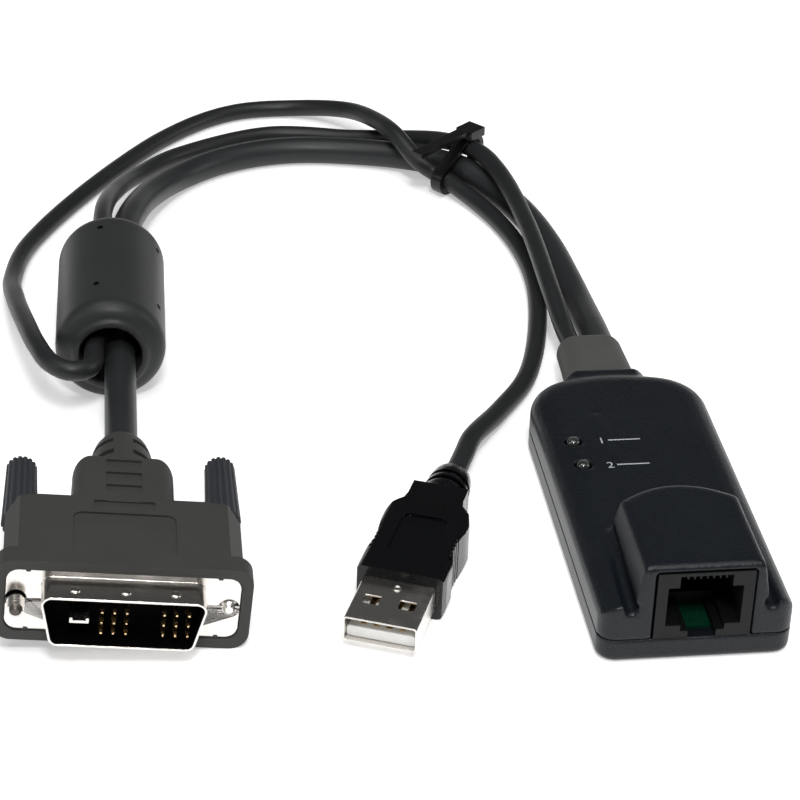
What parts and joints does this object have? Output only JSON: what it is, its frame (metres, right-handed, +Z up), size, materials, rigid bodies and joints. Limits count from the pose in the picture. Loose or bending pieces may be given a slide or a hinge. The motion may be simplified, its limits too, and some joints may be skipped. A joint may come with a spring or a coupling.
{
  "type": "keyboard, video and mouse server interface module",
  "caption": "Small network-jack housing with a raised hood, two status lamps and a boot, and attached cords with ferrite, cable tie, a video plug with thumbscrews and a USB plug.",
  "frame": {"origin": "middle of the housing's outline on the surface that it lies on", "axes": "+Z up, -Y out of the network jack, +Y along the cords as they leave the housing, +X to the right seen from the jack"},
  "size_m": [0.1255, 0.2059, 0.0198],
  "materials": {
    "housing": "fine textured dark grey moulding",
    "jack": "smooth dark grey moulding",
    "lens": "clear unlit lens",
    "gold": "gold plated",
    "steel": "plated steel",
    "tin": "tinned",
    "board": "green solder mask",
    "chip": "moulded package",
    "header": "natural nylon",
    "core": "wire sleeves",
    "boot": "smooth grey boot",
    "video_jacket": "matte dark grey jacket",
    "usb_jacket": "satin grey jacket",
    "ferrite_shell": "satin dark grey moulding",
    "ferrite": "sintered core",
    "tie": "black nylon",
    "overmould": "matte dark grey overmould",
    "knob": "fluted dark grey knob",
    "shell": "nickel plated",
    "insulator": "black moulding",
    "tongue": "white moulding"
  },
  "bodies": {
    "module": {"top_cover": "housing", "bottom_cover": "housing", "cover_screws": "steel", "circuit_board": "board", "jack_housing": "jack", "jack_contacts": "gold", "power_lamp": "lens", "active_lamp": "lens", "lamp_leads": "tin", "main_chip": "chip", "memory_chip": "chip", "line_transformer": "chip", "crystal": "tin", "capacitors": "chip", "cable_header": "header", "cord_cores": "core", "cable_boot": "boot", "video_cord": "video_jacket", "usb_cord": "usb_jacket", "ferrite_cover": "ferrite_shell", "ferrite_core": "ferrite", "cable_tie": "tie", "video_overmould": "overmould", "video_shell": "shell", "video_insulator": "insulator", "video_pins": "gold", "video_ground_blade": "gold", "usb_overmould": "overmould", "usb_shell": "shell", "usb_tongue": "tongue", "usb_contacts": "gold"},
    "left_ring": {"left_retaining_ring": "steel"},
    "left_screw": {"left_thumb_knob": "knob", "left_screw_shank": "steel"},
    "right_ring": {"right_retaining_ring": "steel"},
    "right_screw": {"right_thumb_knob": "knob", "right_screw_shank": "steel"}
  },
  "joints": [
    {"name": "left_screw_slide", "type": "slide", "parent": "module", "child": "left_ring", "axis": [0.0384, 0.9993, 0], "range_m": [0, 0.003]},
    {"name": "left_screw_turn", "type": "hinge", "parent": "left_ring", "child": "left_screw", "pos_m": [-0.10546, -0.01634, 0.01035], "axis": [0.0384, 0.9993, 0], "continuous": true},
    {"name": "right_screw_slide", "type": "slide", "parent": "module", "child": "right_ring", "axis": [-0.0384, -0.9993, 0], "range_m": [0, 0.003]},
    {"name": "right_screw_turn", "type": "hinge", "parent": "right_ring", "child": "right_screw", "pos_m": [-0.07261, -0.0176, 0.00748], "axis": [0.0384, 0.9993, 0], "continuous": true}
  ]
}
